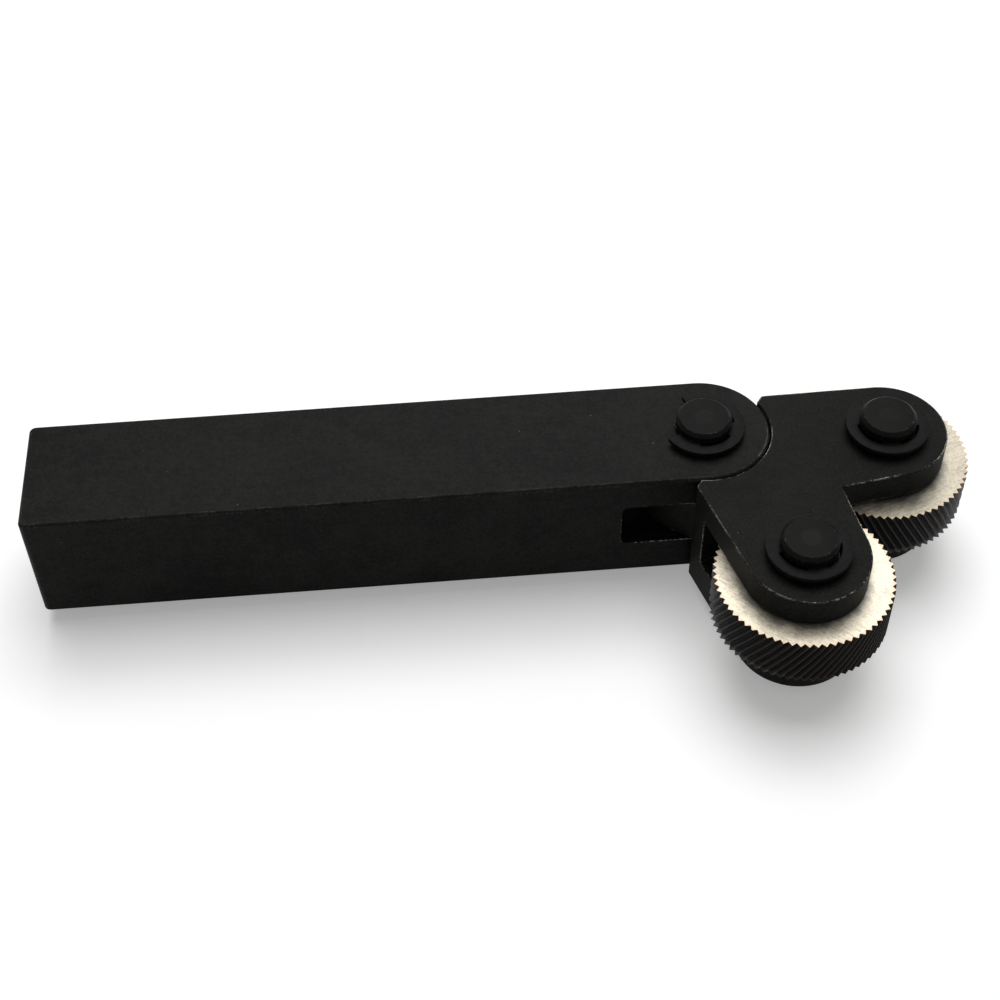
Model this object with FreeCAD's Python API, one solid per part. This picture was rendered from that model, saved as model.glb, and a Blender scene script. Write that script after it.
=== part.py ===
import FreeCAD, Part
import math
import os

"""Swivel-head knurling tool: a square shank, a V-shaped head that swivels on a pin in the
shank's fork, and two knurl wheels with opposite helices that roll a diamond pattern.

Millimetres. +X runs along the shank towards the head, +Z is up, and the origin is on the
shank's seating face, in the middle of the length that a toolpost clamps.
"""

# ---------------------------------------------------------------- driving dimensions
# Shank
SHANK_WIDTH = 20.0
SHANK_HEIGHT = 20.0
GRIP_LENGTH = 88.3          # solid length behind the fork, which the toolpost clamps
FORK_DEPTH = 13.2           # from the pivot axis back to the end wall of the fork's slot
FORK_LOWER_CHEEK = 6.5      # thickness of the fork's lower cheek
FORK_SLOT_HEIGHT = 8.1
FORK_CORNER_RADIUS = 1.0    # left by the cutter at the end wall, above and below
SHANK_REAR_CORNER = 1.0     # rounding of the two upright rear corners
SHANK_EDGE_BREAK = 0.3      # chamfer along the shank's level edges

# Swivel head
HEAD_ANGLE = -36.0          # the head's axis from the shank's axis, degrees, at rest
HEAD_PLAY = 0.25            # gap between the shank's round nose and the head's hollow
CHEEK_LOWER = 6.0           # thickness of the plate below the wheels
ARM_REACH = 27.46           # from the pivot axis to each wheel axis
ARM_HALF_ANGLE = 30.2       # each arm from the head's axis, degrees
ARM_END_RADIUS = 9.1
NOTCH_ANGLE = 90.0          # the V between the two arms, degrees
SHOULDER_REACH = 4.5        # from the pivot axis to the flat rear shoulders
SHOULDER_HALF_WIDTH = 10.75
SHOULDER_CORNER = 0.6       # rounding of the two rear corners
WEB_REACH = 12.5            # from the pivot axis to the end wall of each wheel slot
TONGUE_RADIUS = 9.5         # round end and half width of the tongue in the shank's fork
TONGUE_PLAY = 0.05          # above and below the tongue

# Knurl wheels
WHEEL_DIAMETER = 26.2
WHEEL_WIDTH = 8.0
WHEEL_SLOT_PLAY = 1.35      # the slot for a wheel is this much taller than the wheel
NEAR_WHEEL_LIFT = 1.15      # where each wheel floats on its pin, above the lower plate
FAR_WHEEL_LIFT = 0.7
TOOTH_COUNT = 68            # 1.2 mm apart round the rim
HELIX_SPANS = 3             # straight spans that follow a tooth's helix, within 0.03 mm
HELIX_ANGLE = 30.0          # degrees from the wheel's axis
TOOTH_ANGLE = 90.0          # included angle of a tooth, square to its flanks, degrees
NEAR_TOOTH_ANGLE = 2.8      # direction of one tooth tip on the upper face, degrees from +X
FAR_TOOTH_ANGLE = -0.2

# Pins and their retaining clips
PIN_DIAMETER = 8.4
WHEEL_PIN_END = 1.725       # how far a pin runs on past each of its clips
PIVOT_PIN_END = 1.5
PIN_CHAMFER = 0.5
PUSH_CLEARANCE = 0.02       # radial, pin in the part that holds it
RUNNING_CLEARANCE = 0.05    # radial, pin in the part that turns on it
CLIP_DIAMETER = 12.5
CLIP_THICKNESS = 0.7
CLIP_BAND = 1.65            # width of the clip's outer band
CLIP_MOUTH_ANGLE = 92.0     # the clip's open side, seen from its centre
CLIP_PRONG_ANGLE = 36.0     # the middle prong, opposite the mouth
CLIP_END_ANGLE = 50.0       # each end prong, beside the mouth
GROOVE_DIAMETER = 6.0
GROOVE_PLAY = 0.05          # the groove is this much wider than the clip
CLIP_SEAT_PLAY = 0.05       # from the lower clip to the face above it
WHEEL_PIN_END_PLAY = 0.95   # the wheel pins' float between their two clips
PIVOT_PIN_END_PLAY = 0.6
PIVOT_CLIP_ANGLE = 159.0    # direction of a clip's open side, degrees from +X
NEAR_CLIP_ANGLE = 96.0
FAR_CLIP_ANGLE = 84.0

# ---------------------------------------------------------------- places worked out from them
PIVOT_X = GRIP_LENGTH / 2 + FORK_DEPTH
NOSE_RADIUS = SHANK_WIDTH / 2
FORK_UPPER_FACE = FORK_LOWER_CHEEK + FORK_SLOT_HEIGHT
HEAD_HOLLOW_RADIUS = NOSE_RADIUS + HEAD_PLAY
WHEEL_SLOT_TOP = CHEEK_LOWER + WHEEL_WIDTH + WHEEL_SLOT_PLAY
WHEEL_RADIUS = WHEEL_DIAMETER / 2
PIN_RADIUS = PIN_DIAMETER / 2
OVERCUT = 1.0               # how far a cutting body runs past the face it cuts
TOLERANCE = 1e-6

PIVOT = FreeCAD.Vector(PIVOT_X, 0, 0)
UP = FreeCAD.Vector(0, 0, 1)


def polar(radius, degrees, z=0.0):
    """A point given by its distance and angle from the Z axis."""
    angle = math.radians(degrees)
    return FreeCAD.Vector(radius * math.cos(angle), radius * math.sin(angle), z)


def cylinder(radius, z_low, z_high, centre=FreeCAD.Vector()):
    """An upright cylinder between two heights."""
    base = FreeCAD.Vector(centre.x, centre.y, z_low)
    return Part.makeCylinder(radius, z_high - z_low, base)


def box(x_range, y_range, z_range):
    """A box given by its two limits along each axis."""
    low = FreeCAD.Vector(x_range[0], y_range[0], z_range[0])
    size = [limits[1] - limits[0] for limits in (x_range, y_range, z_range)]
    return Part.makeBox(*size, low)


def extrude_outline(edges, z_low, z_high):
    """An upright solid whose plan is the closed outline drawn by the edges."""
    face = Part.Face(Part.Wire(edges))
    face.translate(FreeCAD.Vector(0, 0, z_low))
    return face.extrude(FreeCAD.Vector(0, 0, z_high - z_low))


def revolve_profile(profile):
    """The solid that a closed profile of (radius, height) points sweeps round the Z axis."""
    points = [FreeCAD.Vector(radius, 0, height) for radius, height in profile]
    face = Part.Face(Part.makePolygon(points + points[:1]))
    return face.revolve(FreeCAD.Vector(), UP, 360)


def line(start, end):
    return Part.LineSegment(start, end).toShape()


def arc(start, middle, end):
    return Part.Arc(start, middle, end).toShape()


def make_pin_hole(clearance, centre=FreeCAD.Vector()):
    """What a drill takes out to leave a through hole for a pin."""
    return cylinder(PIN_RADIUS + clearance, -OVERCUT, SHANK_HEIGHT + OVERCUT, centre)


def same(first, second):
    return abs(first - second) < TOLERANCE


def is_upright(edge):
    return edge.BoundBox.XLength < TOLERANCE and edge.BoundBox.YLength < TOLERANCE


def edges_at_height(solid, height):
    """The solid's edges that lie level at one height."""
    return [e for e in solid.Edges if same(e.BoundBox.ZMin, height) and same(e.BoundBox.ZMax, height)]


# ---------------------------------------------------------------- shank
def make_shank():
    """Square bar with a full-round nose, slotted from the front and both sides into a fork.

    The faces that a toolpost clamps end where the fork starts, so the bar is made of a clamped
    length and a fork, fused with the seam between their faces kept.
    """
    rear = -GRIP_LENGTH / 2
    half = SHANK_WIDTH / 2
    nose_top = FreeCAD.Vector(PIVOT_X, half, 0)
    nose_tip = FreeCAD.Vector(PIVOT_X + NOSE_RADIUS, 0, 0)
    nose_bottom = FreeCAD.Vector(PIVOT_X, -half, 0)
    rear_near = FreeCAD.Vector(rear, -half, 0)
    rear_far = FreeCAD.Vector(rear, half, 0)
    outline = [
        line(rear_near, nose_bottom),
        arc(nose_bottom, nose_tip, nose_top),
        line(nose_top, rear_far),
        line(rear_far, rear_near),
    ]
    bar = extrude_outline(outline, 0, SHANK_HEIGHT)
    rear_corners = [e for e in bar.Edges if is_upright(e) and same(e.CenterOfMass.x, rear)]
    bar = bar.makeFillet(SHANK_REAR_CORNER, rear_corners)
    rim = edges_at_height(bar, 0) + edges_at_height(bar, SHANK_HEIGHT)
    bar = bar.makeChamfer(SHANK_EDGE_BREAK, rim)

    slot_end = PIVOT_X - FORK_DEPTH
    clamped = box((rear, slot_end), (-half, half), (0, SHANK_HEIGHT))
    bar = bar.common(clamped).fuse(bar.cut(clamped))

    slot_front = PIVOT_X + NOSE_RADIUS + OVERCUT
    slot = box(
        (slot_end, slot_front),
        (-half - OVERCUT, half + OVERCUT),
        (FORK_LOWER_CHEEK, FORK_UPPER_FACE),
    )
    end_corners = [e for e in slot.Edges if same(e.BoundBox.XMax, slot_end) and e.BoundBox.YLength > half]
    slot = slot.makeFillet(FORK_CORNER_RADIUS, end_corners)
    return bar.cut(slot).cut(make_pin_hole(PUSH_CLEARANCE, PIVOT))


# ---------------------------------------------------------------- swivel head
def wheel_axis(side):
    """A wheel's axis in the head's own frame; side is -1 near, +1 far."""
    return polar(ARM_REACH, side * ARM_HALF_ANGLE)


def head_outline():
    """Plan of the head in its own frame, pivot at the origin and arms towards +X.

    From the hollow that clears the shank's nose it runs along a rear shoulder, down the outer
    edge of one arm, round the arm's end, into the V and back the same way on the other side.
    """
    shoulder_inner = math.sqrt(HEAD_HOLLOW_RADIUS ** 2 - SHOULDER_REACH ** 2)
    crotch_side = ARM_END_RADIUS / math.sin(math.radians(NOTCH_ANGLE / 2))
    far_axis = wheel_axis(1)
    half_notch = math.radians(NOTCH_ANGLE / 2)
    crotch = FreeCAD.Vector(far_axis.x - far_axis.y / math.tan(half_notch) + crotch_side, 0, 0)

    corner = FreeCAD.Vector(SHOULDER_REACH, SHOULDER_HALF_WIDTH, 0)
    to_axis = far_axis - corner
    taper = math.atan2(to_axis.y, to_axis.x) + math.asin(ARM_END_RADIUS / to_axis.Length)
    outer_normal = FreeCAD.Vector(-math.sin(taper), math.cos(taper), 0)
    inner_normal = FreeCAD.Vector(math.sin(half_notch), -math.cos(half_notch), 0)
    outer_touch = far_axis + outer_normal * ARM_END_RADIUS
    inner_touch = far_axis + inner_normal * ARM_END_RADIUS
    end_middle = far_axis + (polar(1, (math.degrees(taper) + NOTCH_ANGLE / 2) / 2)) * ARM_END_RADIUS

    def mirrored(point):
        return FreeCAD.Vector(point.x, -point.y, 0)

    inner_end = FreeCAD.Vector(SHOULDER_REACH, shoulder_inner, 0)
    hollow = FreeCAD.Vector(HEAD_HOLLOW_RADIUS, 0, 0)
    return [
        arc(mirrored(inner_end), hollow, inner_end),
        line(inner_end, corner),
        line(corner, outer_touch),
        arc(outer_touch, end_middle, inner_touch),
        line(inner_touch, crotch),
        line(crotch, mirrored(inner_touch)),
        arc(mirrored(inner_touch), mirrored(end_middle), mirrored(outer_touch)),
        line(mirrored(outer_touch), mirrored(corner)),
        line(mirrored(corner), mirrored(inner_end)),
    ]


def make_wheel_slot(side):
    """The space that one wheel needs: square across its arm and open to the front."""
    length = ARM_REACH + WHEEL_RADIUS
    half_width = ARM_REACH
    slot = box(
        (WEB_REACH, WEB_REACH + length),
        (-half_width, half_width),
        (CHEEK_LOWER, WHEEL_SLOT_TOP),
    )
    slot.rotate(FreeCAD.Vector(), UP, side * ARM_HALF_ANGLE)
    return slot


def make_tongue():
    """The head's tongue: a flat bar with a round end, which fills the shank's fork."""
    z_low = FORK_LOWER_CHEEK + TONGUE_PLAY
    z_high = FORK_UPPER_FACE - TONGUE_PLAY
    front = WEB_REACH
    bar = box((0, front), (-TONGUE_RADIUS, TONGUE_RADIUS), (z_low, z_high))
    tongue = bar.fuse(cylinder(TONGUE_RADIUS, z_low, z_high))
    for side in (-1, 1):
        tongue = tongue.cut(make_wheel_slot(side))
    return tongue


def make_head():
    """Two V-shaped plates joined by a web, with the tongue behind and a wheel slot in each arm."""
    body = extrude_outline(head_outline(), 0, SHANK_HEIGHT)
    upright = [e for e in body.Edges if is_upright(e)]
    rear_corners = [e for e in upright if same(abs(e.CenterOfMass.y), SHOULDER_HALF_WIDTH)]
    body = body.makeFillet(SHOULDER_CORNER, rear_corners)
    for side in (-1, 1):
        body = body.cut(make_wheel_slot(side))
    head = body.fuse(make_tongue())
    head = head.cut(make_pin_hole(RUNNING_CLEARANCE))
    for side in (-1, 1):
        head = head.cut(make_pin_hole(PUSH_CLEARANCE, wheel_axis(side)))
    return place_on_head(head.removeSplitter())


def place_on_head(shape):
    """Turn a shape from the head's own frame to the head's place on the shank."""
    shape.rotate(FreeCAD.Vector(), UP, HEAD_ANGLE)
    shape.translate(PIVOT)
    return shape


# ---------------------------------------------------------------- knurl wheels
def tooth_depth():
    """Depth of a sharp V tooth, from its included angle and its pitch square to the flanks."""
    pitch = math.pi * WHEEL_DIAMETER / TOOTH_COUNT
    square_pitch = pitch * math.cos(math.radians(HELIX_ANGLE))
    return square_pitch / 2 / math.tan(math.radians(TOOTH_ANGLE / 2))


def helix_points(radius, start_degrees, twist_degrees):
    """Points along a helix from a wheel's lower face, at zero height, to its upper face."""
    points = []
    for step in range(HELIX_SPANS + 1):
        share = step / HELIX_SPANS
        points.append(polar(radius, start_degrees + twist_degrees * share, WHEEL_WIDTH * share))
    return points


def make_flank(first_helix, second_helix):
    """One flank of a tooth: a strip of ruled faces between two neighbouring helices."""
    faces = []
    for span in range(HELIX_SPANS):
        first_edge = line(first_helix[span], first_helix[span + 1])
        second_edge = line(second_helix[span], second_helix[span + 1])
        faces.append(Part.makeRuledSurface(first_edge, second_edge))
    return faces


def make_knurl_wheel(hand, tooth_direction):
    """A wheel with sharp helical teeth, its lower face at zero height.

    hand is +1 for a right-hand helix and -1 for a left-hand one. The helices of the roots and of
    the tips alternate round the rim, a flank joins each to the next, and two flat faces close
    the solid.
    """
    root_radius = WHEEL_RADIUS - tooth_depth()
    step = 360.0 / TOOTH_COUNT
    twist = hand * math.degrees(WHEEL_WIDTH * math.tan(math.radians(HELIX_ANGLE)) / WHEEL_RADIUS)
    first_tip = tooth_direction - twist

    helices = []
    for index in range(TOOTH_COUNT):
        tip_angle = first_tip + index * step
        helices.append(helix_points(root_radius, tip_angle - step / 2, twist))
        helices.append(helix_points(WHEEL_RADIUS, tip_angle, twist))

    faces = []
    for index, helix in enumerate(helices):
        faces += make_flank(helix, helices[(index + 1) % len(helices)])
    for end in (0, -1):
        ring = [helix[end] for helix in helices]
        faces.append(Part.Face(Part.makePolygon(ring + ring[:1])))
    shell = Part.makeShell(faces)
    shell.sewShape()
    blank = Part.Solid(shell)
    if blank.Volume < 0:
        blank.reverse()
    return blank.cut(make_pin_hole(RUNNING_CLEARANCE))


# ---------------------------------------------------------------- pins and clips
def clip_levels(end_play):
    """Lower faces of a pin's two clips: the lower one hangs under the tool, the upper one floats."""
    lower = -CLIP_SEAT_PLAY - CLIP_THICKNESS
    upper = SHANK_HEIGHT + end_play - CLIP_SEAT_PLAY
    return lower, upper


def make_pin(end_play, end_length):
    """A plain pin, chamfered at both ends, with a groove for each clip."""
    levels = clip_levels(end_play)
    z_low = levels[0] - end_length
    z_high = levels[1] + CLIP_THICKNESS + end_length
    groove_radius = GROOVE_DIAMETER / 2
    profile = [
        (0, z_low),
        (PIN_RADIUS - PIN_CHAMFER, z_low),
        (PIN_RADIUS, z_low + PIN_CHAMFER),
    ]
    for level in levels:
        groove_low = level - GROOVE_PLAY / 2
        groove_high = level + CLIP_THICKNESS + GROOVE_PLAY / 2
        profile += [
            (PIN_RADIUS, groove_low),
            (groove_radius, groove_low),
            (groove_radius, groove_high),
            (PIN_RADIUS, groove_high),
        ]
    profile += [(PIN_RADIUS, z_high - PIN_CHAMFER), (PIN_RADIUS - PIN_CHAMFER, z_high), (0, z_high)]
    return revolve_profile(profile)


def sector(radius, from_degrees, to_degrees, z_low, z_high):
    """A slice of a disc between two directions, less than half a turn apart."""
    points = [FreeCAD.Vector(), polar(radius, from_degrees), polar(radius, to_degrees)]
    middle = polar(radius, (from_degrees + to_degrees) / 2)
    outline = [line(points[0], points[1]), arc(points[1], middle, points[2]), line(points[2], points[0])]
    return extrude_outline(outline, z_low, z_high)


def make_clip(level, direction):
    """An E-shaped clip: an open band with three prongs that reach into the pin's groove.

    The clip is drawn with its mouth towards +X and then turned to its direction.
    """
    top = level + CLIP_THICKNESS
    outer = CLIP_DIAMETER / 2
    inner = GROOVE_DIAMETER / 2 + PUSH_CLEARANCE
    relief = outer - CLIP_BAND
    half_mouth = CLIP_MOUTH_ANGLE / 2
    pocket_start = half_mouth + CLIP_END_ANGLE
    pocket_end = 180 - CLIP_PRONG_ANGLE / 2
    clip = cylinder(outer, level, top).cut(cylinder(inner, level, top))
    clip = clip.cut(sector(outer + OVERCUT, -half_mouth, half_mouth, level, top))
    for side in (-1, 1):
        clip = clip.cut(sector(relief, side * pocket_start, side * pocket_end, level, top))
    clip.rotate(FreeCAD.Vector(), UP, direction)
    return clip


def pin_set(end_play, end_length, direction):
    """A pin with its two clips, all on the Z axis."""
    lower, upper = clip_levels(end_play)
    return make_pin(end_play, end_length), make_clip(lower, direction), make_clip(upper, direction)


# ---------------------------------------------------------------- the tool
def make_tool():
    """Every piece of the tool by name, in place."""
    pieces = {"shank": make_shank(), "head": make_head()}

    pin, lower_clip, upper_clip = pin_set(PIVOT_PIN_END_PLAY, PIVOT_PIN_END, PIVOT_CLIP_ANGLE)
    named = (("pivot_pin", pin), ("pivot_clip_lower", lower_clip), ("pivot_clip_upper", upper_clip))
    for name, shape in named:
        shape.translate(PIVOT)
        pieces[name] = shape

    arms = (
        ("near", -1, 1, NEAR_TOOTH_ANGLE, NEAR_WHEEL_LIFT, NEAR_CLIP_ANGLE),
        ("far", 1, -1, FAR_TOOTH_ANGLE, FAR_WHEEL_LIFT, FAR_CLIP_ANGLE),
    )
    for label, side, hand, tooth, lift, mouth in arms:
        wheel = make_knurl_wheel(hand, tooth - HEAD_ANGLE)
        wheel.translate(UP * (CHEEK_LOWER + lift))
        pin, lower_clip, upper_clip = pin_set(WHEEL_PIN_END_PLAY, WHEEL_PIN_END, mouth - HEAD_ANGLE)
        named = (
            (f"knurl_wheel_{label}", wheel),
            (f"wheel_pin_{label}", pin),
            (f"wheel_clip_lower_{label}", lower_clip),
            (f"wheel_clip_upper_{label}", upper_clip),
        )
        for name, shape in named:
            shape.translate(wheel_axis(side))
            pieces[name] = place_on_head(shape)
    return pieces


os.makedirs("parts", exist_ok=True)
for piece_name, piece in make_tool().items():
    piece.exportStep(f"parts/{piece_name}.step")
    print(f"{piece_name}: {len(piece.Solids)} solid, {piece.Volume:.1f} mm3, valid {piece.isValid()}")
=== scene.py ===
"""A swivel-head knurling tool: its surfaces, its studio and its camera.

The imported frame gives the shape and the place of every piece. This script builds finer
meshes for them, gives each its finish, and sets a plain pale studio round the tool.
"""

import logging
import math
from collections.abc import Sequence
from dataclasses import dataclass, field
from enum import Enum
from typing import Any

import bmesh
import bpy
from mathutils import Matrix, Vector


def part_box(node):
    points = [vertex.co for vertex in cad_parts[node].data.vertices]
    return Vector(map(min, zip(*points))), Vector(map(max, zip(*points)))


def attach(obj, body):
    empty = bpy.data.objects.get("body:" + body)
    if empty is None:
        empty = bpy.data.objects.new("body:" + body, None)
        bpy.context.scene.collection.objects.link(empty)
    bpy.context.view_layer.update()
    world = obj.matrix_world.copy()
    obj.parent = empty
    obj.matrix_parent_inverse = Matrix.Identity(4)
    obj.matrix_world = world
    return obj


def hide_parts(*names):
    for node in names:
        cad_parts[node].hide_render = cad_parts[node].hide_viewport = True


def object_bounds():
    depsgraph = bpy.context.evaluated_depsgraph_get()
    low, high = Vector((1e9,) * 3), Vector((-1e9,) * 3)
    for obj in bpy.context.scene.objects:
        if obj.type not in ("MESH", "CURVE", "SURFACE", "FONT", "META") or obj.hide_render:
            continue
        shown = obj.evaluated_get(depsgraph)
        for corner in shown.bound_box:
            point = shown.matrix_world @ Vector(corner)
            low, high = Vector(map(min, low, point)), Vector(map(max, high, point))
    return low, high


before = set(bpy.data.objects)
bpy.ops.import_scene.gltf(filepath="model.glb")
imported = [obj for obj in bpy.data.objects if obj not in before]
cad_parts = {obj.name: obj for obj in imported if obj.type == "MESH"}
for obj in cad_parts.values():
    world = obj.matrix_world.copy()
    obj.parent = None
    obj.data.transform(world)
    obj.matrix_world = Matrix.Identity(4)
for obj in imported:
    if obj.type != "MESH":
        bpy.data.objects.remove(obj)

MM = 0.001
WELD = 0.0005 * MM  # points closer than this become one
SAME_HEIGHT = 1e-7
CAD_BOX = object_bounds()
log = logging.getLogger("knurling_tool")

Colour = tuple[float, float, float]


class Body(Enum):
    """The rigid bodies that the pieces ride on."""

    SHANK = "shank"
    HEAD = "head"
    WHEEL_NEAR = "wheel_near"
    WHEEL_FAR = "wheel_far"


class Slot(Enum):
    """The record's material slots."""

    SHANK = "shank_oxide"
    HEAD = "head_oxide"
    PIN = "pin_steel"
    CLIP = "clip_steel"
    WHEEL = "wheel_steel"


class Hand(Enum):
    """Which way a wheel's teeth lean."""

    RIGHT = 1
    LEFT = -1


# ---------------------------------------------------------------- nodes as Python expressions
class Signal:
    """A node's output that takes part in Python arithmetic by adding Math nodes."""

    def __init__(self, bench: "Bench", socket: bpy.types.NodeSocket) -> None:
        """Wrap one output socket of a bench's tree."""
        self.bench = bench
        self.socket = socket

    def __add__(self, other: "Signal | float") -> "Signal":
        """Return this plus other."""
        return self.bench.math("ADD", self, other)

    def __radd__(self, other: float) -> "Signal":
        """Return other plus this."""
        return self.bench.math("ADD", other, self)

    def __sub__(self, other: "Signal | float") -> "Signal":
        """Return this minus other."""
        return self.bench.math("SUBTRACT", self, other)

    def __rsub__(self, other: float) -> "Signal":
        """Return other minus this."""
        return self.bench.math("SUBTRACT", other, self)

    def __mul__(self, other: "Signal | float") -> "Signal":
        """Return this times other."""
        return self.bench.math("MULTIPLY", self, other)

    def __rmul__(self, other: float) -> "Signal":
        """Return other times this."""
        return self.bench.math("MULTIPLY", other, self)

    def __truediv__(self, other: "Signal | float") -> "Signal":
        """Return this divided by other."""
        return self.bench.math("DIVIDE", self, other)

    def __mod__(self, other: float) -> "Signal":
        """Return what is left of this after whole steps of other."""
        return self.bench.math("FLOORED_MODULO", self, other)

    def __gt__(self, other: "Signal | float") -> "Signal":
        """Return 1 where this is greater than other, and 0 elsewhere."""
        return self.bench.math("GREATER_THAN", self, other)


class Bench:
    """Adds nodes to one tree, of shader or geometry nodes."""

    def __init__(self, tree: bpy.types.NodeTree) -> None:
        """Work on an empty or a started tree."""
        self.tree = tree

    def node(
        self,
        kind: str,
        settings: dict[str, Any] | None = None,
        inputs: dict[str | int, Any] | None = None,
    ) -> bpy.types.Node:
        """Add one node, set its settings, and then fill its sockets.

        Args:
            kind: The node's type.
            settings: Its properties by name; "stops" holds a ramp's (place, colour) pairs.
            inputs: A Signal to link, or a plain value, by the socket's name or index.

        Returns:
            The new node.
        """
        made = self.tree.nodes.new(kind)
        for name, value in (settings or {}).items():
            if name == "stops":
                self._set_stops(made.color_ramp, value)
            else:
                setattr(made, name, value)
        for name, value in (inputs or {}).items():
            socket = made.inputs[name]
            if isinstance(value, Signal):
                self.tree.links.new(value.socket, socket)
            else:
                socket.default_value = value
        return made

    @staticmethod
    def _set_stops(ramp: bpy.types.ColorRamp, stops: Sequence[tuple[float, Colour]]) -> None:
        """Give a ramp its stops.

        Args:
            ramp: The ramp, which has two stops when it is new.
            stops: (place, colour) pairs in rising order, at least two.
        """
        while len(ramp.elements) < len(stops):
            ramp.elements.new(1.0)
        for element, (place, colour) in zip(ramp.elements, stops):
            element.position = place
            element.color = (*colour, 1.0)

    def signal(
        self,
        kind: str,
        settings: dict[str, Any] | None = None,
        inputs: dict[str | int, Any] | None = None,
        output: str | int = 0,
    ) -> Signal:
        """Add one node and return one of its outputs.

        Args:
            kind: The node's type.
            settings: As for node().
            inputs: As for node().
            output: The output's name or index.

        Returns:
            The output as a Signal.
        """
        return Signal(self, self.node(kind, settings, inputs).outputs[output])

    def math(self, operation: str, *operands: "Signal | float") -> Signal:
        """Add a Math node.

        Args:
            operation: What it works out, such as "ADD".
            operands: Its inputs in order.

        Returns:
            The result.
        """
        return self.signal("ShaderNodeMath", {"operation": operation}, dict(enumerate(operands)))

    def vector(self, operation: str, *operands: Any, output: str | int = 0) -> Signal:
        """Add a Vector Math node.

        Args:
            operation: What it works out, such as "LENGTH".
            operands: Its inputs in order.
            output: The output's name or index.

        Returns:
            The result.
        """
        inputs = dict(enumerate(operands))
        return self.signal("ShaderNodeVectorMath", {"operation": operation}, inputs, output)

    def seen(self) -> Signal:
        """Tell the rays that show a thing from the rays that light another.

        Returns:
            1 on the rays of the eye, of reflections and of clear glass, and 0 on the rest.
        """
        path = self.node("ShaderNodeLightPath").outputs
        camera, glossy, clear = (
            Signal(self, path[f"Is {kind} Ray"]) for kind in ("Camera", "Glossy", "Transmission")
        )
        return self.math("MINIMUM", camera + glossy + clear, 1.0)


class Surface(Bench):
    """The nodes of one material, with the patterns that the finishes share."""

    def place(self, centre: Sequence[float] = (0.0, 0.0, 0.0)) -> Signal:
        """Return a point's place on the piece.

        Args:
            centre: The point that the pattern is centred on, in metres.

        Returns:
            The place from centre, in millimetres.
        """
        coordinates = self.signal("ShaderNodeTexCoord", output="Object")
        return self.signal(
            "ShaderNodeMapping",
            {"vector_type": "TEXTURE"},
            {"Vector": coordinates, "Location": tuple(centre), "Scale": (MM, MM, MM)},
        )

    def noise(
        self,
        place: Signal,
        size: float,
        detail: float = 2.0,
        roughness: float = 0.5,
        distortion: float = 0.0,
    ) -> Signal:
        """Return soft noise.

        Args:
            place: Where to read it, in millimetres.
            size: The size of its largest blotches, in millimetres.
            detail: How many finer layers it has.
            roughness: How strong the finer layers are.
            distortion: How far the blotches are stirred.

        Returns:
            A value from 0 to 1, mostly near 0.5.
        """
        inputs = {"Vector": place, "Scale": 1.0 / size, "Detail": detail}
        inputs |= {"Roughness": roughness, "Distortion": distortion}
        return self.signal("ShaderNodeTexNoise", None, inputs)

    def specks(self, place: Signal, spacing: float, radius: float) -> Signal:
        """Return small scattered spots.

        Args:
            place: Where to read them, in millimetres.
            spacing: The distance from spot to spot, in millimetres.
            radius: The radius of a spot, as a share of the spacing.

        Returns:
            1 in the middle of a spot, falling to 0 at its rim.
        """
        inputs = {"Vector": place, "Scale": 1.0 / spacing}
        distance = self.signal("ShaderNodeTexVoronoi", None, inputs, "Distance")
        return self.ease(distance, radius, 0.0)

    def ease(self, value: Signal, low: float, high: float) -> Signal:
        """Return 0 up to low, 1 past high, and a smooth step between; low may be above high."""
        inputs = {"Value": value, "From Min": low, "From Max": high}
        return self.signal("ShaderNodeMapRange", {"interpolation_type": "SMOOTHSTEP"}, inputs)

    def stretch(self, place: Signal, scale: Sequence[float]) -> Signal:
        """Return the place scaled along each axis, which draws a pattern out into streaks."""
        return self.vector("MULTIPLY", place, tuple(scale))

    def from_axis(self, place: Signal) -> Signal:
        """Return a place's distance from the upright axis through its centre."""
        return self.vector("LENGTH", self.stretch(place, (1.0, 1.0, 0.0)), output="Value")

    def tint(self, share: Signal | float, first: Any, second: Any) -> Signal:
        """Blend two colours.

        Args:
            share: 0 for the first colour and 1 for the second.
            first: A colour or a Signal.
            second: A colour or a Signal.

        Returns:
            The blended colour.
        """
        colours = [(*c, 1.0) if isinstance(c, tuple) else c for c in (first, second)]
        inputs = {0: share, 6: colours[0], 7: colours[1]}
        return self.signal("ShaderNodeMix", {"data_type": "RGBA"}, inputs, 2)

    def edges(self, radius: float) -> Signal:
        """Find the edges.

        Args:
            radius: How far they reach on each side, in millimetres.

        Returns:
            1 on an edge, falling to 0 at the radius.
        """
        normal = self.signal("ShaderNodeNewGeometry", output="Normal")
        rounded = self.signal("ShaderNodeBevel", {"samples": 4}, {"Radius": radius * MM})
        agreement = self.vector("DOT_PRODUCT", rounded, normal, output="Value")
        return self.ease(1.0 - agreement, 0.015, 0.2)

    def open_air(self, distance: float) -> Signal:
        """Return how free a point is from the walls of its own piece.

        Args:
            distance: How far to look for walls, in millimetres.

        Returns:
            1 in the open and 0 in a corner.
        """
        settings = {"samples": 3, "only_local": True}
        inputs = {"Distance": distance * MM}
        free = self.signal("ShaderNodeAmbientOcclusion", settings, inputs, "AO")
        return self.ease(free, 0.6, 0.92)

    def relief(self, height: Signal, depth: float) -> Signal:
        """Turn a height into a normal.

        Args:
            height: The height, from 0 to 1.
            depth: What a height of 1 stands for, in millimetres.

        Returns:
            The normal.
        """
        return self.signal("ShaderNodeBump", None, {"Distance": depth * MM, "Height": height})

    def skin(self, inputs: dict[str | int, Any]) -> Signal:
        """Add the main shader with these inputs and return it."""
        return self.signal("ShaderNodeBsdfPrincipled", None, inputs)


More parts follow.
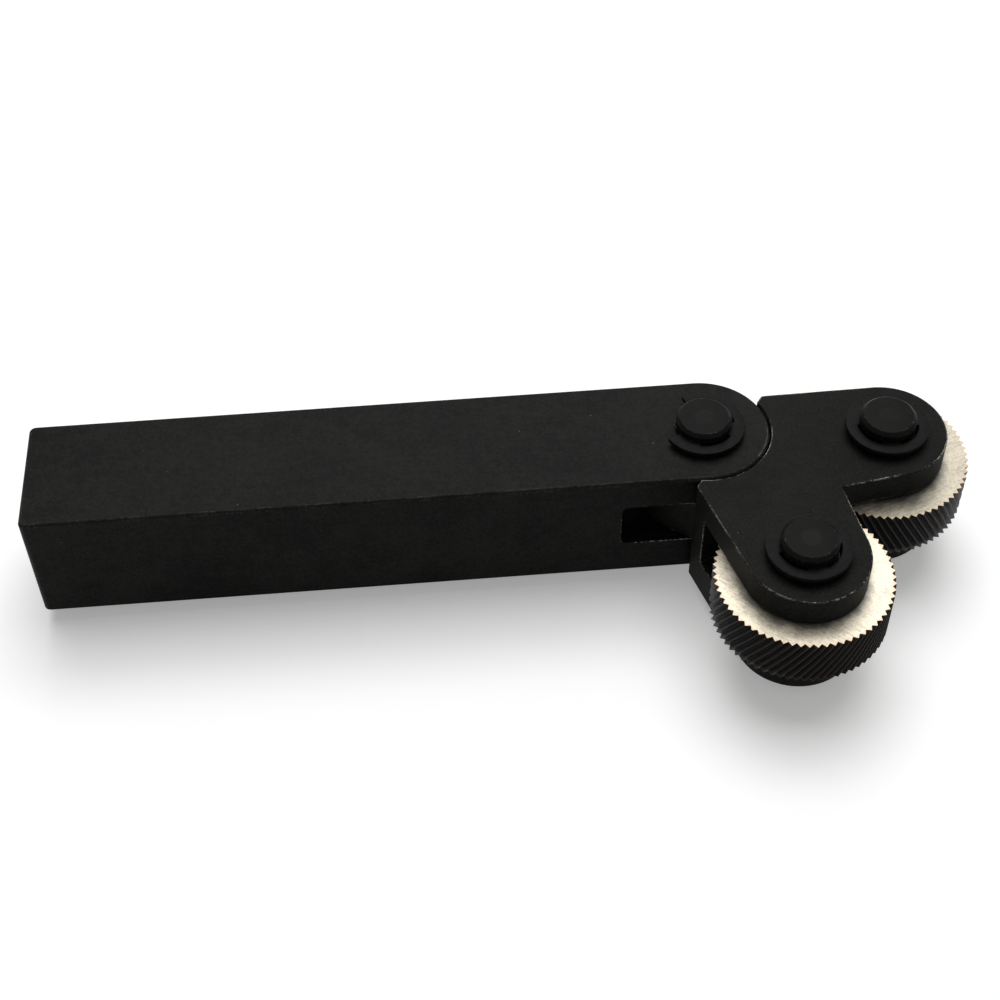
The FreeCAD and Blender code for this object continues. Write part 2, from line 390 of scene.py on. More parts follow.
# ---------------------------------------------------------------- finishes
@dataclass(frozen=True)
class Finish:
    """How one kind of surface looks. Colours are linear, and lengths are in millimetres."""

    name: str

    def material(self) -> bpy.types.Material:
        """Build the material.

        Returns:
            The material, under the finish's name.
        """
        material = bpy.data.materials.new(self.name)
        material.use_nodes = True
        material.node_tree.nodes.clear()
        surface = Surface(material.node_tree)
        shader = self.shade(surface)
        surface.node("ShaderNodeOutputMaterial", None, {"Surface": shader})
        return material

    def shade(self, surface: Surface) -> Signal:
        """Add the finish's nodes to the surface and return its shader."""
        raise NotImplementedError


@dataclass(frozen=True)
class BlackOxide(Finish):
    """Machined steel with a black oxide coat, worn through at its edges."""

    gloss: float
    grain_size: float
    grain_depth: float
    pits: float
    wear: float = 0.5
    streaks: float = 0.0
    dark: Colour = (0.0040, 0.0042, 0.0038)
    light: Colour = (0.0145, 0.0150, 0.0134)
    steel: Colour = (0.50, 0.48, 0.44)
    shine: float = 0.036
    cloud_size: float = 14.0
    mottle_size: float = 2.2
    streak_stretch: tuple[float, float, float] = (0.05, 3.0, 3.0)
    pit_spacing: float = 1.1
    pit_radius: float = 0.17
    nick_spacing: float = 2.3
    nick_radius: float = 0.06
    nick_strength: float = 0.35
    chip_size: float = 0.45
    patch_size: float = 6.0
    edge_radius: float = 0.35
    corner_reach: float = 0.7

    def shade(self, surface: Surface) -> Signal:
        """Add the coat, its mottling and pits, the nicks and the worn edges.

        Args:
            surface: The material's nodes.

        Returns:
            The shader.
        """
        place = surface.place()
        clouds = surface.noise(place, self.cloud_size, 3.0, 0.6, 0.6)
        mottle = surface.noise(place, self.mottle_size, 4.0, 0.7)
        grain = surface.noise(place, self.grain_size, 3.0, 0.6)
        drawn = surface.noise(surface.stretch(place, self.streak_stretch), 1.0, 2.0)
        pitting = surface.specks(place, self.pit_spacing, self.pit_radius)
        pitting = pitting * surface.ease(mottle, 0.5, 0.62) * self.pits

        tone = clouds * 0.3 + mottle * 0.32 + grain * 0.38 + (drawn - 0.5) * self.streaks
        coat = surface.tint(surface.ease(tone, 0.38, 0.62), self.dark, self.light)

        edges = surface.edges(self.edge_radius) * surface.open_air(self.corner_reach)
        chips = surface.noise(place, self.chip_size, 3.0, 0.7)
        patches = surface.noise(place, self.patch_size, 2.0, 0.6)
        bare = edges * surface.ease(chips + patches - self.wear, 0.42, 0.62)
        nicks = surface.specks(place, self.nick_spacing, self.nick_radius)
        nicks = nicks * surface.ease(chips, 0.5, 0.6)
        bare = surface.math("MAXIMUM", bare, nicks * self.nick_strength)

        rough = self.gloss + (mottle - 0.5) * 0.25 + (clouds - 0.5) * 0.2 + pitting * 0.2
        height = grain * 0.7 + mottle * 0.3 - pitting * 1.5 - bare * 0.6
        return surface.skin(
            {
                "Base Color": surface.tint(bare, coat, self.steel),
                "Metallic": bare,
                "Roughness": rough,
                "Specular IOR Level": self.shine,
                "Normal": surface.relief(height, self.grain_depth),
            }
        )


@dataclass(frozen=True)
class TurnedOxide(Finish):
    """A turned pin with a black oxide coat: rings from the lathe and a bright worn rim."""

    centre: tuple[float, float, float]
    pip_tint: float
    dark: Colour = (0.0026, 0.0026, 0.0024)
    light: Colour = (0.0088, 0.0084, 0.0076)
    steel: Colour = (0.24, 0.23, 0.21)
    shine: float = 0.04
    pip_radius: float = 1.6
    pip_blur: float = 0.35
    rings_per_mm: float = 5.5
    mottle_size: float = 1.1
    chip_size: float = 0.6
    edge_radius: float = 0.25
    ring_depth: float = 0.006

    def shade(self, surface: Surface) -> Signal:
        """Add the lathe's rings, the coat, the mark in its middle and its worn rim.

        Args:
            surface: The material's nodes.

        Returns:
            The shader.
        """
        place = surface.place(self.centre)
        radius = surface.from_axis(place)
        rings = surface.signal(
            "ShaderNodeTexNoise",
            {"noise_dimensions": "1D"},
            {"W": radius, "Scale": self.rings_per_mm, "Detail": 3.0, "Roughness": 0.6},
        )
        mottle = surface.noise(place, self.mottle_size, 4.0, 0.65)
        ragged = radius + (mottle - 0.5) * 0.5
        pip = surface.ease(ragged, self.pip_radius, self.pip_radius - self.pip_blur)

        tone = rings * 0.45 + mottle * 0.55 + pip * self.pip_tint * 0.4
        coat = surface.tint(surface.ease(tone, 0.38, 0.72), self.dark, self.light)
        chips = surface.noise(place, self.chip_size, 3.0, 0.7)
        bare = surface.edges(self.edge_radius) * surface.ease(chips, 0.5, 0.66) * 0.8
        return surface.skin(
            {
                "Base Color": surface.tint(bare, coat, self.steel),
                "Metallic": bare,
                "Roughness": 0.4 + (mottle - 0.5) * 0.25 - pip * 0.06,
                "Specular IOR Level": self.shine,
                "Normal": surface.relief(rings * 0.6 + mottle * 0.4, self.ring_depth),
            }
        )


@dataclass(frozen=True)
class SpringClip(Finish):
    """Stamped spring steel with a dull phosphate coat."""

    dark: Colour = (0.0050, 0.0052, 0.0049)
    light: Colour = (0.0095, 0.0097, 0.0090)
    steel: Colour = (0.34, 0.33, 0.31)
    shine: float = 0.04
    mottle_size: float = 0.9
    grain_size: float = 0.22
    grain_depth: float = 0.008
    rub_size: float = 0.7
    edge_radius: float = 0.12

    def shade(self, surface: Surface) -> Signal:
        """Add the coat and its rubbed edges.

        Args:
            surface: The material's nodes.

        Returns:
            The shader.
        """
        place = surface.place()
        mottle = surface.noise(place, self.mottle_size, 4.0, 0.6)
        grain = surface.noise(place, self.grain_size, 2.0, 0.6)
        coat = surface.tint(surface.ease(mottle, 0.35, 0.68), self.dark, self.light)
        rubs = surface.ease(surface.noise(place, self.rub_size, 3.0, 0.7), 0.55, 0.7)
        bare = surface.edges(self.edge_radius) * rubs * 0.6
        return surface.skin(
            {
                "Base Color": surface.tint(bare, coat, self.steel),
                "Metallic": bare,
                "Roughness": 0.46 + (mottle - 0.5) * 0.2,
                "Specular IOR Level": self.shine,
                "Normal": surface.relief(grain * 0.5 + mottle * 0.5, self.grain_depth),
            }
        )


@dataclass(frozen=True)
class GroundSteel(Finish):
    """A wheel's side face: steel, ground flat and speckled, darkened beside the plates by
    grime and painted shade.

    The grinding runs across the face at one angle, in degrees from +X.
    """

    centre: tuple[float, float, float]
    grinding_angle: float
    # painted shade: below 1 darkens the whole face, as if it stood in less light
    painted_light_level: float
    bright: Colour = (0.53, 0.48, 0.385)
    dull: Colour = (0.28, 0.255, 0.205)
    # grime and painted shade: the dark colour of the face where the plates overhang it
    grime_and_shade: Colour = (0.07, 0.075, 0.075)
    rim_tint: Colour = (0.40, 0.25, 0.14)
    rim_radius: float = 12.65
    rim_strength: float = 0.45
    clean_and_lit_radius: float = 10.7
    oil_and_shade_fade: float = 1.7
    oil_and_shade_strength: float = 0.75
    scratch_size: float = 0.3
    scratch_stretch: tuple[float, float, float] = (0.12, 1.0, 1.0)
    scratch_depth: float = 0.012
    speck_size: float = 0.45
    stain_size: float = 3.5

    def shade(self, surface: Surface) -> Signal:
        """Add the scratches, the specks, the grime and painted shade beside the plates, and the
        brown rim.

        Args:
            surface: The material's nodes.

        Returns:
            The shader.
        """
        place = surface.place(self.centre)
        radius = surface.from_axis(place)
        turned = surface.signal(
            "ShaderNodeVectorRotate",
            {"rotation_type": "Z_AXIS"},
            {"Vector": place, "Angle": math.radians(-self.grinding_angle)},
        )
        drawn = surface.stretch(turned, self.scratch_stretch)
        scratches = surface.noise(drawn, self.scratch_size, 3.0, 0.7)
        specks = surface.noise(place, self.speck_size, 4.0, 0.75)
        stains = surface.noise(place, self.stain_size, 4.0, 0.6, 0.3)
        tone = scratches * 0.35 + specks * 0.35 + stains * 0.3
        # painted shade: both colours scale with the painted light level
        dull, bright = (
            tuple(self.painted_light_level * part for part in colour) for colour in (self.dull, self.bright)
        )
        face = surface.tint(surface.ease(tone, 0.38, 0.6), dull, bright)

        # grime and painted shade: the face darkens towards its middle, under the plates' ends
        ragged = radius + (stains - 0.5) * 2.5
        oil_and_shade = surface.ease(ragged, self.clean_and_lit_radius, self.clean_and_lit_radius - self.oil_and_shade_fade)
        face = surface.tint(oil_and_shade * self.oil_and_shade_strength, face, self.grime_and_shade)
        ragged = radius + (stains - 0.5) * 0.3
        rim = surface.ease(ragged, self.rim_radius - 0.1, self.rim_radius + 0.1)
        return surface.skin(
            {
                "Base Color": surface.tint(rim * self.rim_strength, face, self.rim_tint),
                "Metallic": 1.0,
                "Roughness": 0.45 + (scratches - 0.5) * 0.3 + (stains - 0.5) * 0.2,
                "Normal": surface.relief(scratches * 0.6 + specks * 0.4, self.scratch_depth),
            }
        )


@dataclass(frozen=True)
class CutTeeth(Finish):
    """The cut teeth: dark oiled steel with painted shade between the teeth, brown at the sharp
    ends.
    """

    lower_face: float
    upper_face: float
    valley_shade: Colour = (0.003, 0.0026, 0.0023)
    flank: Colour = (0.019, 0.0165, 0.0155)
    tip: Colour = (0.055, 0.047, 0.043)
    burr: Colour = (0.24, 0.12, 0.055)
    burr_strength: float = 0.6
    stain_size: float = 2.2
    score_size: float = 0.25
    score_depth: float = 0.01
    tip_radius: float = 0.14
    valley_shade_reach: float = 1.0

    def shade(self, surface: Surface) -> Signal:
        """Add the flanks with painted shade between the teeth, the worn tips and the brown ends.

        Args:
            surface: The material's nodes.

        Returns:
            The shader.
        """
        place = surface.place()
        height = surface.signal("ShaderNodeSeparateXYZ", None, {0: place}, "Z")
        stains = surface.noise(place, self.stain_size, 4.0, 0.65)
        drawn = surface.stretch(place, (1.0, 1.0, 0.4))
        scores = surface.noise(drawn, self.score_size, 3.0, 0.7)
        free = surface.open_air(self.valley_shade_reach)
        ends = surface.ease(height, self.upper_face - 0.18, self.upper_face - 0.02)
        ends = ends + surface.ease(height, self.lower_face + 0.06, self.lower_face)
        ends = ends * surface.ease(stains, 0.4, 0.6) * self.burr_strength
        tips = surface.edges(self.tip_radius) * surface.ease(stains, 0.35, 0.7)

        # painted shade: the valley colour where the occlusion test finds walls close by
        metal = surface.tint(free, self.valley_shade, self.flank)
        metal = surface.tint(tips, metal, self.tip)
        return surface.skin(
            {
                "Base Color": surface.tint(ends, metal, self.burr),
                "Metallic": 1.0,
                "Roughness": 0.5 + (stains - 0.5) * 0.3 + (scores - 0.5) * 0.2,
                "Normal": surface.relief(scores, self.score_depth),
            }
        )


@dataclass(frozen=True)
class StudioPaper(Finish):
    """The pale floor, which turns plain white away from the tool."""

    colour: Colour = (0.96, 0.96, 0.96)
    fibre_tint: float = 0.99
    fibre_size: float = 40.0
    lift: float = 0.3
    near_radius: float = 300.0
    white_radius: float = 900.0

    def shade(self, surface: Surface) -> Signal:
        """Add the paper, with a little light of its own for the eye and for reflections.

        Args:
            surface: The material's nodes.

        Returns:
            The shader.
        """
        place = surface.place()
        fibre = surface.noise(place, self.fibre_size, 2.0)
        dimmed = tuple(self.fibre_tint * part for part in self.colour)
        paper = surface.tint(fibre, self.colour, dimmed)
        diffuse = surface.signal("ShaderNodeBsdfDiffuse", None, {"Color": paper})
        seen = surface.seen()
        glow = surface.signal("ShaderNodeEmission", None, {"Strength": seen * self.lift})
        lit = surface.signal("ShaderNodeAddShader", None, {0: diffuse, 1: glow})
        radius = surface.vector("LENGTH", place, output="Value")
        away = surface.ease(radius, self.near_radius, self.white_radius)
        white = surface.signal("ShaderNodeEmission", None, {"Strength": 1.0})
        return surface.signal("ShaderNodeMixShader", None, {0: seen * away, 1: lit, 2: white})


# ---------------------------------------------------------------- meshes
def settle(mesh: bmesh.types.BMesh, name: str, sharp_angle: float = 30.0) -> bpy.types.Object:
    """Turn a finished BMesh into an object at the origin.

    Args:
        mesh: The mesh, in metres in the row frame; it is freed.
        name: The object's name.
        sharp_angle: Edges sharper than this many degrees keep a hard crease.

    Returns:
        The linked object, smooth between its creases.
    """
    bmesh.ops.recalc_face_normals(mesh, faces=mesh.faces)
    for face in mesh.faces:
        face.smooth = True
    limit = math.radians(sharp_angle)
    for edge in mesh.edges:
        edge.smooth = edge.calc_face_angle(0.0) < limit
    data = bpy.data.meshes.new(name)
    mesh.to_mesh(data)
    mesh.free()
    piece = bpy.data.objects.new(name, data)
    bpy.context.scene.collection.objects.link(piece)
    return piece


def turn_on_lathe(
    profile: Sequence[tuple[float, float]], centre: Vector, steps: int = 96
) -> bmesh.types.BMesh:
    """Sweep a profile round an upright axis.

    Args:
        profile: (radius, height) points from the bottom middle to the top middle, in metres.
        centre: A point on the axis.
        steps: How many flats make a full turn.

    Returns:
        A closed mesh.
    """
    mesh = bmesh.new()
    rings = []
    for radius, height in profile:
        if radius == 0.0:
            rings.append([mesh.verts.new((centre.x, centre.y, height))])
            continue
        ring = []
        for step in range(steps):
            angle = math.tau * step / steps
            x = centre.x + radius * math.cos(angle)
            y = centre.y + radius * math.sin(angle)
            ring.append(mesh.verts.new((x, y, height)))
        rings.append(ring)
    for lower, upper in zip(rings, rings[1:]):
        for step in range(steps):
            after = (step + 1) % steps
            corners = [
                lower[step % len(lower)],
                lower[after % len(lower)],
                upper[after % len(upper)],
                upper[step % len(upper)],
            ]
            mesh.faces.new(list(dict.fromkeys(corners)))
    return mesh


def arc_points(radius: float, start: float, end: float, gap: float = 3.0) -> list[Vector]:
    """Return points along an arc round the origin.

    Args:
        radius: The arc's radius.
        start: Its first direction, in degrees.
        end: Its last direction, in degrees.
        gap: The largest step between two points, in degrees.

    Returns:
        The points, both ends included.
    """
    steps = max(1, math.ceil(abs(end - start) / gap))
    turns = [math.radians(start + (end - start) * step / steps) for step in range(steps + 1)]
    return [Vector((radius * math.cos(turn), radius * math.sin(turn), 0.0)) for turn in turns]


@dataclass
class Piece:
    """One visible piece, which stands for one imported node."""

    node: str
    body: Body
    slot: Slot

    def place(self, piece: bpy.types.Object) -> bpy.types.Object:
        """Let the piece stand for its node and ride on its body.

        Args:
            piece: The finished object.

        Returns:
            The same object.
        """
        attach(piece, self.body.value)
        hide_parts(self.node)
        log.info("%s: %d faces on body %s", piece.name, len(piece.data.polygons), self.body.value)
        return piece


@dataclass
class MachinedBlock(Piece):
    """A milled piece, whose sharp edges are broken by a small radius."""

    finish: Finish
    edge_break: float
    bevel_steps: int = 2
    bevel_angle: float = 32.0
    flat_angle: float = 0.5

    def build(self) -> bpy.types.Object:
        """Copy the node's faces, break its edges and dress it.

        Returns:
            The finished piece.
        """
        mesh = bmesh.new()
        mesh.from_mesh(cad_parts[self.node].data)
        bmesh.ops.remove_doubles(mesh, verts=mesh.verts, dist=WELD)
        flat = math.radians(self.flat_angle)
        bmesh.ops.dissolve_limit(mesh, angle_limit=flat, verts=mesh.verts, edges=mesh.edges)
        piece = settle(mesh, f"{self.node}_block")
        piece.data.materials.clear()
        piece.data.materials.append(self.finish.material())
        bevel = piece.modifiers.new("edge_break", "BEVEL")
        bevel.width = self.edge_break * MM
        bevel.segments = self.bevel_steps
        bevel.limit_method = "ANGLE"
        bevel.angle_limit = math.radians(self.bevel_angle)
        bevel.harden_normals = True
        return self.place(piece)


@dataclass
class TurnedPin(Piece):
    """A turned pin with a groove at each end for a clip."""

    clips: tuple[str, str]
    pip_tint: float
    radius: float = 4.2
    chamfer: float = 0.5
    edge_round: float = 0.08
    flat_radius: float = 1.7
    groove_radius: float = 3.0
    groove_play: float = 0.025
    crease_angle: float = 24.0

    def axis(self) -> Vector:
        """Return the middle of the pin's own box."""
        low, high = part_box(self.node)
        return (low + high) / 2

    def end_profile(self, end: float, inward: float) -> list[tuple[float, float]]:
        """Draw one end of the pin, from its middle out to its side.

        Args:
            end: The height of the end face, in metres.
            inward: 1 where the pin's body lies above the end face, and -1 where it lies below.

        Returns:
            (radius, height) points, in metres.
        """
        flat = self.radius - self.chamfer
        soft = self.edge_round
        points = [
            (0.0, 0.0),
            (self.flat_radius, 0.0),
            (flat - soft, 0.0),
            (flat - 0.2 * soft, 0.15 * soft),
            (flat + soft, soft + 0.03),
            (self.radius - soft, self.chamfer - soft),
            (self.radius - 0.2 * soft, self.chamfer),
            (self.radius, self.chamfer + soft),
        ]
        return [(radius * MM, end + inward * depth * MM) for radius, depth in points]

    def profile(self) -> list[tuple[float, float]]:
        """Draw the whole pin.

        Returns:
            (radius, height) points from the middle of its foot to the middle of its top, in metres.
        """
        low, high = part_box(self.node)
        side, floor, play = self.radius * MM, self.groove_radius * MM, self.groove_play * MM
        points = self.end_profile(low.z, 1.0)
        for clip in self.clips:
            clip_low, clip_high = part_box(clip)
            lower, upper = clip_low.z - play, clip_high.z + play
            points += [(side, lower), (floor, lower), (floor, upper), (side, upper)]
        return points + self.end_profile(high.z, -1.0)[::-1]

    def build(self) -> bpy.types.Object:
        """Turn the pin and dress it.

        Returns:
            The finished piece.
        """
        axis = self.axis()
        turned = turn_on_lathe(self.profile(), axis)
        piece = settle(turned, f"{self.node}_turned", self.crease_angle)
        finish = TurnedOxide(f"{self.node}_oxide", tuple(axis), self.pip_tint)
        piece.data.materials.append(finish.material())
        return self.place(piece)


@dataclass
class RetainingClip(Piece):
    """An E-shaped spring clip, stamped from sheet; its mouth faces one direction."""

    finish: Finish
    pin: str
    mouth_direction: float
    radius: float = 6.25
    band: float = 1.65
    inner_radius: float = 3.02
    mouth_angle: float = 92.0
    end_prong_angle: float = 50.0
    middle_prong_angle: float = 36.0
    edge_round: float = 0.09
    round_steps: int = 3

    def outline(self) -> list[Vector]:
        """Draw the clip's plan with its mouth towards +X.

        Returns:
            The corners in order, in millimetres from the pin's axis.
        """
        half = self.mouth_angle / 2
        pocket = half + self.end_prong_angle
        prong = 180.0 - self.middle_prong_angle / 2
        relief = self.radius - self.band
        side = (
            arc_points(self.inner_radius, half, pocket)
            + arc_points(relief, pocket, prong)
            + arc_points(self.inner_radius, prong, 180.0)
        )
        mirrored = [Vector((p.x, -p.y, 0.0)) for p in reversed(side[:-1])]
        return arc_points(self.radius, -half, half - 360.0) + side + mirrored

    def build(self) -> bpy.types.Object:
        """Stamp the clip, round its edges and dress it.

        Returns:
            The finished piece.
        """
        low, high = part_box(self.node)
        pin_low, pin_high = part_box(self.pin)
        axis = (pin_low + pin_high) / 2
        turn = Matrix.Rotation(math.radians(self.mouth_direction), 4, "Z")
        seat = Matrix.Translation((axis.x, axis.y, low.z)) @ turn @ Matrix.Scale(MM, 4)

        mesh = bmesh.new()
        sheet = mesh.faces.new([mesh.verts.new(seat @ point) for point in self.outline()])
        grown = bmesh.ops.extrude_face_region(mesh, geom=[sheet])["geom"]
        raised = [item for item in grown if isinstance(item, bmesh.types.BMVert)]
        bmesh.ops.translate(mesh, verts=raised, vec=(0.0, 0.0, high.z - low.z))
        rims = [
            edge
            for edge in mesh.edges
            if abs(edge.verts[0].co.z - edge.verts[1].co.z) < SAME_HEIGHT
        ]
        bmesh.ops.bevel(
            mesh,
            geom=rims,
            offset=self.edge_round * MM,
            segments=self.round_steps,
            profile=0.5,
            affect="EDGES",
        )
        piece = settle(mesh, f"{self.node}_stamped")
        piece.data.materials.append(self.finish.material())
        return self.place(piece)


# ---------------------------------------------------------------- knurl wheels
class WheelTree:
    """Geometry nodes that make a knurl wheel: one tooth, repeated round the axis."""

    COLUMNS = 5
    SKIN_ROWS = 9
    FACE_ROWS = 4
    EDGE_ROWS = 2

    def __init__(self) -> None:
        """Build the tree."""
        self.tree = bpy.data.node_groups.new("knurl_wheel", "GeometryNodeTree")
        self.inputs: dict[str, str] = {}
        for name, kind in (
            ("Teeth", "Int"),
            ("Tip Radius", "Float"),
            ("Root Radius", "Float"),
            ("Bore Radius", "Float"),
            ("Width", "Float"),
            ("Twist", "Float"),
            ("Phase", "Float"),
            ("Tip Land", "Float"),
            ("Bore Chamfer", "Float"),
            ("Seat", "Vector"),
            ("Face Finish", "Material"),
            ("Tooth Finish", "Material"),
        ):
            self.inputs[name] = self._socket(name, "INPUT", kind)
        self._socket("Wheel", "OUTPUT", "Geometry")
        self.bench = Bench(self.tree)
        self.sizes = self.bench.node("NodeGroupInput")
        self._finish(self._repeat(self._tooth()))

    def _socket(self, name: str, side: str, kind: str) -> str:
        """Give the tree one socket and return its identifier."""
        sockets = self.tree.interface
        return sockets.new_socket(name, in_out=side, socket_type=f"NodeSocket{kind}").identifier

    def size(self, name: str) -> Signal:
        """Return one of the tree's inputs."""
        return Signal(self.bench, self.sizes.outputs[name])

    def _column(self, rows: int) -> Signal:
        """Return which of a tooth's five upright lines a point of a grid is on."""
        index = self.bench.signal("GeometryNodeInputIndex")
        return self.bench.math("FLOOR", index / float(rows))

    def _row_share(self, rows: int) -> Signal:
        """Return how far along its band a point of a grid is, from 0 to 1."""
        index = self.bench.signal("GeometryNodeInputIndex")
        return (index % float(rows)) / float(rows - 1)

    def _band(
        self,
        rows: int,
        start: tuple["Signal | float", "Signal | float"],
        end: tuple["Signal | float", "Signal | float"],
        is_rim: bool = False,
    ) -> Signal:
        """Make one band of the tooth's skin.

        The band has five columns: the two sides of the root, the two sides of the tip, and
        the next tooth's root. The wheel's twist turns each point by its height.

        Args:
            rows: How many rings of points the band has.
            start: The radius of its first ring, and its height as a share of the width.
            end: The same for its last ring.
            is_rim: True for the tooth's own skin, which keeps its name for its material.

        Returns:
            The band as geometry.
        """
        bench = self.bench
        column = self._column(rows)
        along = self._row_share(rows)
        radius = start[0] + (end[0] - start[0]) * along
        height = start[1] + (end[1] - start[1]) * along

        quarter = column % 4.0
        tooth = bench.math("FLOOR", column / 4.0)
        flank = bench.math("FLOOR", quarter / 2.0) * 0.5
        land = ((quarter % 2.0) - 0.5) * self.size("Tip Land")
        turn = (tooth + flank + land - 0.5) * math.tau / self.size("Teeth")
        angle = turn + self.size("Twist") * (height - 1.0)
        place = bench.signal(
            "ShaderNodeCombineXYZ",
            None,
            {
                "X": radius * bench.math("COSINE", angle),
                "Y": radius * bench.math("SINE", angle),
                "Z": height * self.size("Width"),
            },
        )
        grid = bench.signal(
            "GeometryNodeMeshGrid",
            None,
            {"Size X": 1.0, "Size Y": 1.0, "Vertices X": self.COLUMNS, "Vertices Y": rows},
            "Mesh",
        )
        inputs = {"Geometry": grid, "Position": place}
        shaped = bench.signal("GeometryNodeSetPosition", None, inputs)
        return bench.signal(
            "GeometryNodeStoreNamedAttribute",
            {"data_type": "BOOLEAN", "domain": "FACE"},
            {"Geometry": shaped, "Name": "rim", "Value": is_rim},
        )

    def _tooth_radius(self, rows: int) -> Signal:
        """Return the root radius on the root's columns and the tip radius on the tip's."""
        root, is_tip = self.size("Root Radius"), (self._column(rows) % 4.0) > 1.5
        return root + (self.size("Tip Radius") - root) * is_tip

    def _tooth(self) -> Signal:
        """Join the bands of one tooth: its skin, its share of both faces and of the bore.

        Returns:
            The tooth as geometry.
        """
        bore = self.size("Bore Radius")
        flare = bore + self.size("Bore Chamfer")
        cut = self.size("Bore Chamfer") / self.size("Width")
        skin, face = (self._tooth_radius(rows) for rows in (self.SKIN_ROWS, self.FACE_ROWS))
        bands = [
            self._band(self.SKIN_ROWS, (skin, 0.0), (skin, 1.0), True),
            self._band(self.FACE_ROWS, (face, 1.0), (flare, 1.0)),
            self._band(self.FACE_ROWS, (flare, 0.0), (face, 0.0)),
            self._band(self.EDGE_ROWS, (flare, 1.0), (bore, 1.0 - cut)),
            self._band(self.EDGE_ROWS, (bore, 1.0 - cut), (bore, cut)),
            self._band(self.EDGE_ROWS, (bore, cut), (flare, 0.0)),
        ]
        join = self.bench.node("GeometryNodeJoinGeometry")
        for band in bands:
            self.tree.links.new(band.socket, join.inputs[0])
        return Signal(self.bench, join.outputs[0])

    def _repeat(self, tooth: Signal) -> Signal:
        """Set a copy of the tooth at every step round the axis.

        Args:
            tooth: One tooth's geometry.

        Returns:
            All the teeth, as copies.
        """
        bench = self.bench
        marks = bench.signal("GeometryNodePoints", None, {"Count": self.size("Teeth")})
        index = bench.signal("GeometryNodeInputIndex")
        turn = bench.signal(
            "ShaderNodeCombineXYZ",
            None,
            {"Z": index * math.tau / self.size("Teeth") + self.size("Phase")},
        )
        inputs = {"Points": marks, "Instance": tooth, "Rotation": turn}
        return bench.signal("GeometryNodeInstanceOnPoints", None, inputs)

    def _finish(self, teeth: Signal) -> None:
        """Weld the teeth into one wheel, seat it and give it its materials.

        Args:
            teeth: All the teeth, as copies.
        """
        bench = self.bench
        whole = bench.signal("GeometryNodeRealizeInstances", None, {0: teeth})
        inputs = {"Geometry": whole, "Distance": WELD}
        welded = bench.signal("GeometryNodeMergeByDistance", None, inputs)
        inputs = {"Geometry": welded, "Offset": self.size("Seat")}
        seated = bench.signal("GeometryNodeSetPosition", None, inputs)
        inputs = {"Geometry": seated, "Material": self.size("Face Finish")}
        faced = bench.signal("GeometryNodeSetMaterial", None, inputs)
        kind = {"data_type": "BOOLEAN"}
        is_rim = bench.signal("GeometryNodeInputNamedAttribute", kind, {"Name": "rim"}, "Attribute")
        inputs = {"Geometry": faced, "Selection": is_rim, "Material": self.size("Tooth Finish")}
        dressed = bench.signal("GeometryNodeSetMaterial", None, inputs)
        bench.node("NodeGroupOutput", None, {0: dressed})


@dataclass
class KnurlWheel(Piece):
    """A knurl wheel with helical teeth; lengths are in millimetres.

    A tooth tip's land is given as a share of the step from tooth to tooth.
    """

    pin: str
    hand: Hand
    tip_angle: float
    grinding_angle: float
    # painted light level of the faces: below 1 is painted shade
    painted_light_level: float
    tooth_count: int = 68
    tooth_depth: float = 0.524
    helix_angle: float = 30.0
    tip_land: float = 0.07
    bore_radius: float = 4.25
    bore_chamfer: float = 0.4
    crease_angle: float = 20.0

    def sizes(self) -> dict[str, Any]:
        """Work out the tree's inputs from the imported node's box.

        Returns:
            The value of each named input.
        """
        low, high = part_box(self.node)
        pin_low, pin_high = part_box(self.pin)
        axis = (pin_low + pin_high) / 2
        tip_radius = (high.x - low.x + high.y - low.y) / 4
        width = high.z - low.z
        centre = (axis.x, axis.y, high.z)
        twist = self.hand.value * width * math.tan(math.radians(self.helix_angle)) / tip_radius
        teeth = CutTeeth(f"{self.node}_teeth", low.z / MM, high.z / MM)
        faces = GroundSteel(f"{self.node}_faces", centre, self.grinding_angle, self.painted_light_level)
        return {
            "Teeth": self.tooth_count,
            "Tip Radius": tip_radius,
            "Root Radius": tip_radius - self.tooth_depth * MM,
            "Bore Radius": self.bore_radius * MM,
            "Width": width,
            "Twist": twist,
            "Phase": math.radians(self.tip_angle),
            "Tip Land": self.tip_land,
            "Bore Chamfer": self.bore_chamfer * MM,
            "Seat": (axis.x, axis.y, low.z),
            "Face Finish": faces.material(),
            "Tooth Finish": teeth.material(),
        }

    def build(self, tree: WheelTree) -> bpy.types.Object:
        """Run the tree, keep its result as a plain mesh and dress it.

        Args:
            tree: The wheel's geometry nodes.

        Returns:
            The finished piece.
        """
        name = f"{self.node}_blank"
        blank = bpy.data.objects.new(name, bpy.data.meshes.new(name))
        bpy.context.scene.collection.objects.link(blank)
        modifier = blank.modifiers.new("knurl", "NODES")
        modifier.node_group = tree.tree
        for size, value in self.sizes().items():
            modifier[tree.inputs[size]] = value
        bpy.context.view_layer.update()
        evaluated = blank.evaluated_get(bpy.context.evaluated_depsgraph_get())
        cut = bpy.data.meshes.new_from_object(evaluated)
        blank.modifiers.clear()
        bpy.data.objects.remove(blank)

        mesh = bmesh.new()
        mesh.from_mesh(cut)
        piece = settle(mesh, f"{self.node}_knurled", self.crease_angle)
        for material in cut.materials:
            piece.data.materials.append(material)
        return self.place(piece)


# ---------------------------------------------------------------- sub-assemblies
@dataclass
class ClippedPin:
    """A pin and the two clips that hold it; directions are in degrees from +X."""

    pin: str
    clips: tuple[str, str]
    body: Body
    mouth_direction: float
    pip_tint: float = 0.2

    def build(self) -> None:
        """Build the pin and both clips."""
        TurnedPin(self.pin, self.body, Slot.PIN, self.clips, self.pip_tint).build()
        for clip in self.clips:
            finish = SpringClip(f"{clip}_phosphate")
            stamped = RetainingClip(
                clip, self.body, Slot.CLIP, finish, self.pin, self.mouth_direction
            )
            stamped.build()


